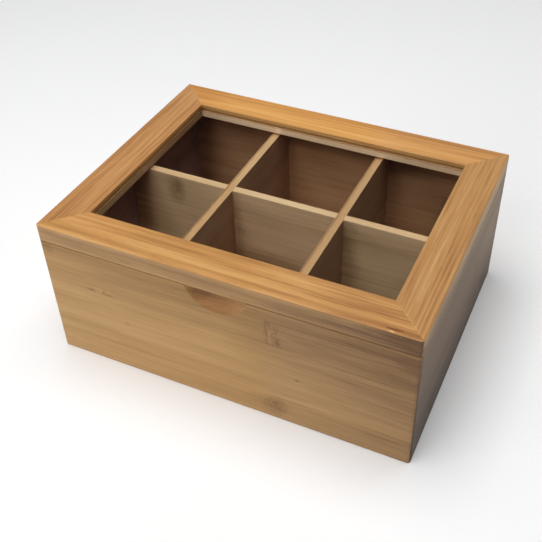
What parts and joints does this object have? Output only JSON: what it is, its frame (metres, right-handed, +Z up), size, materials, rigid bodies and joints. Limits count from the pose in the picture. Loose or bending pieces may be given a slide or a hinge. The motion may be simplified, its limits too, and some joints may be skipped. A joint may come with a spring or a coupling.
{
  "type": "tea bag organizer box",
  "caption": "Bamboo tea bag box with equal compartments under a hinged lid with a clear window and a thumb notch in front.",
  "frame": {"origin": "centre of the underside, on the surface that the box stands on", "axes": "+X along the width to the right as seen from the front, +Y to the hinged back, +Z up"},
  "size_m": [0.215, 0.1716, 0.091],
  "materials": {
    "case_bamboo": "flat-grain bamboo, satin oil",
    "lid_bamboo": "edge-grain bamboo, satin lacquer",
    "divider_bamboo": "plain sanded bamboo",
    "bead_bamboo": "bare sanded bamboo",
    "pane": "clear, polished",
    "hinge_steel": "nickel plated"
  },
  "bodies": {
    "box": {"front_panel": "case_bamboo", "back_panel": "case_bamboo", "left_panel": "case_bamboo", "right_panel": "case_bamboo", "bottom_panel": "case_bamboo", "long_divider": "divider_bamboo", "left_cross_divider": "divider_bamboo", "right_cross_divider": "divider_bamboo", "left_hinge_box_leaf": "hinge_steel", "right_hinge_box_leaf": "hinge_steel", "left_hinge_pin": "hinge_steel", "right_hinge_pin": "hinge_steel", "box_hinge_screws": "hinge_steel"},
    "lid": {"lid_front_rail": "lid_bamboo", "lid_back_rail": "lid_bamboo", "lid_left_rail": "lid_bamboo", "lid_right_rail": "lid_bamboo", "window_pane": "pane", "lid_corner_keys": "lid_bamboo", "front_pane_bead": "bead_bamboo", "back_pane_bead": "bead_bamboo", "left_pane_bead": "bead_bamboo", "right_pane_bead": "bead_bamboo", "left_hinge_lid_leaf": "hinge_steel", "right_hinge_lid_leaf": "hinge_steel", "lid_hinge_screws": "hinge_steel"}
  },
  "joints": [
    {"name": "lid_hinge", "type": "hinge", "parent": "box", "child": "lid", "pos_m": [0, 0.0848, 0.08015], "axis": [-1, 0, 0], "range_deg": [0, 100]}
  ]
}
